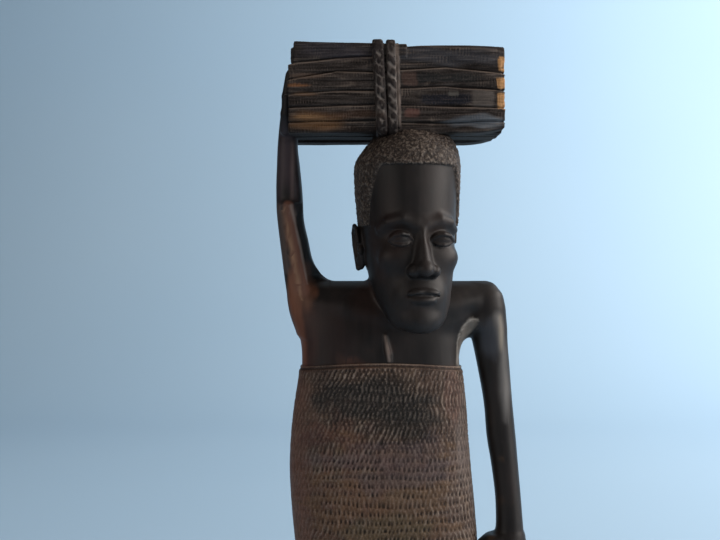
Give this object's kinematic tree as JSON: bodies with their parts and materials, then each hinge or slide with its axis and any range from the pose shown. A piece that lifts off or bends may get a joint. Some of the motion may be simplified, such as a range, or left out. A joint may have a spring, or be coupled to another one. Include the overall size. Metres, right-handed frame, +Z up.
{
  "type": "carved wooden figure",
  "caption": "Dark hardwood figure of a standing woman who carries a roped bundle of firewood on her head, for display on a shelf or table",
  "frame": {"origin": "the middle of the base's flat underside", "axes": "+Z points up through the head, the figure faces -Y, and its left side is toward +X"},
  "size_m": [0.1204, 0.0777, 0.3941],
  "materials": {
    "blackwood": "dark heartwood, carved with knife and gouge and polished by hand, tool marks left in the wrap, the hair and the firewood"
  },
  "bodies": {
    "root": {"figure": "blackwood"}
  },
  "joints": []
}
